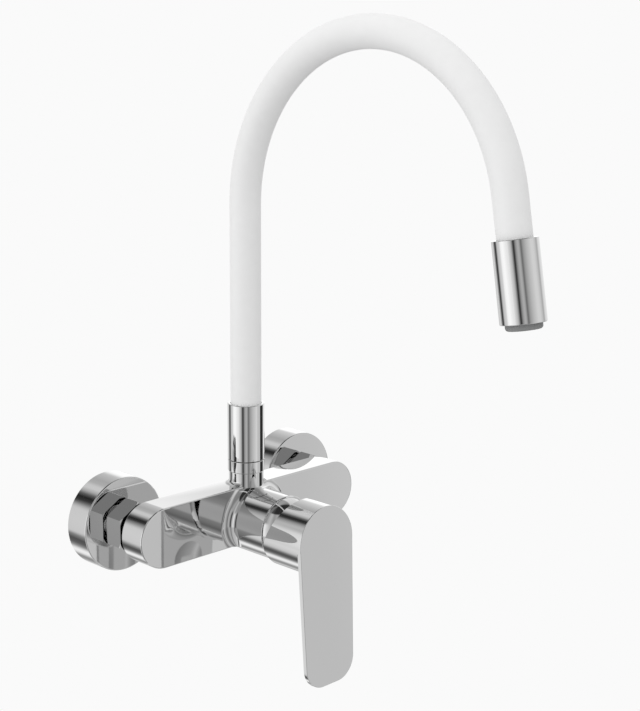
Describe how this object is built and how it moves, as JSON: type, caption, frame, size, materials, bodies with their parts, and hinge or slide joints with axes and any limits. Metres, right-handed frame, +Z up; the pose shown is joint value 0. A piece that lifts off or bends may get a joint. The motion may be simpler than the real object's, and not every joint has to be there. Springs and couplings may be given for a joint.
{
  "type": "kitchen faucet",
  "caption": "Wall-mounted single-lever kitchen mixer with a tall white silicone-covered flexible gooseneck spout that swivels and bends, and a chromed outlet head.",
  "frame": {"origin": "on the wall plane, midway between the two wall threads", "axes": "+Z up, -Y out of the wall towards the user, +X to the right seen from the front"},
  "size_m": [0.2092, 0.2866, 0.4024],
  "materials": {
    "chrome_plate": "polished plating on brass",
    "chrome_body": "polished plating on a brass casting",
    "chrome_lever": "polished plating on a zinc casting",
    "chrome_head": "polished plating on a brass tube",
    "cast_brass": "turned, matt",
    "black_rubber": "smooth",
    "white_plastic": "moulded",
    "red_plastic": "moulded",
    "grey_plastic": "moulded",
    "ceramic": "lapped",
    "steel": "ground",
    "clear_plastic": "braided tube",
    "white_silicone": "matt, soft",
    "grey_rubber": "matt"
  },
  "bodies": {
    "mixer": {"escutcheon_left": "chrome_plate", "escutcheon_right": "chrome_plate", "eccentric_union_left": "chrome_plate", "eccentric_union_right": "chrome_plate", "strainer_washer_left": "black_rubber", "strainer_washer_right": "black_rubber", "union_nut_left": "chrome_plate", "union_nut_right": "chrome_plate", "inlet_nipple_left": "chrome_plate", "inlet_nipple_right": "chrome_plate", "nipple_o_rings": "black_rubber", "mixer_body": "chrome_body", "cartridge_seals": "black_rubber", "cartridge_base": "white_plastic", "fixed_disc": "ceramic", "cartridge_housing": "white_plastic", "cartridge_nut": "cast_brass", "bonnet": "chrome_plate", "spout_nut": "chrome_plate"},
    "turret": {"spindle_turret": "white_plastic", "spindle_pin": "steel"},
    "valve_slide": {"moving_disc": "ceramic", "disc_carrier": "red_plastic"},
    "lever": {"spindle": "cast_brass", "lever_handle": "chrome_lever", "grub_screw": "steel", "screw_plug": "grey_plastic"},
    "spout": {"spout_tail": "cast_brass", "spout_o_rings": "black_rubber", "slide_washer": "white_plastic", "hose_sleeve": "chrome_plate", "spout_jacket": "white_silicone", "support_conduit": "steel", "water_tube": "clear_plastic"},
    "outlet_head": {"jacket_bend": "white_silicone", "jacket_end": "white_silicone", "conduit_bend": "steel", "tube_bend": "clear_plastic", "head_shell": "chrome_head", "head_connector": "cast_brass", "head_o_ring": "black_rubber", "nozzle": "grey_rubber", "aerator": "white_plastic"}
  },
  "joints": [
    {"name": "lever_turn", "type": "hinge", "parent": "mixer", "child": "turret", "pos_m": [0, -0.0765, -0.0118], "axis": [0, 1, 0], "range_deg": [-50, 50]},
    {"name": "lever_lift", "type": "hinge", "parent": "turret", "child": "lever", "pos_m": [0, -0.0765, -0.0118], "axis": [-1, 0, 0], "range_deg": [0, 25]},
    {"name": "disc_slide", "type": "slide", "parent": "turret", "child": "valve_slide", "axis": [0, 0, -1], "range_m": [0, 0.0068]},
    {"name": "spout_swivel", "type": "hinge", "parent": "mixer", "child": "spout", "pos_m": [0, -0.0468, 0.02], "axis": [0, 0, 1], "range_deg": [-95, 95]},
    {"name": "hose_bend", "type": "hinge", "parent": "spout", "child": "outlet_head", "pos_m": [0, -0.20341, 0.27523], "axis": [1, 0, 0], "range_deg": [-25, 25], "deforming": ["jacket_bend", "conduit_bend", "tube_bend"]}
  ],
  "couplings": [
    {"joint": "disc_slide", "follows": "lever_lift", "m_per_rad": 0.0155}
  ]
}
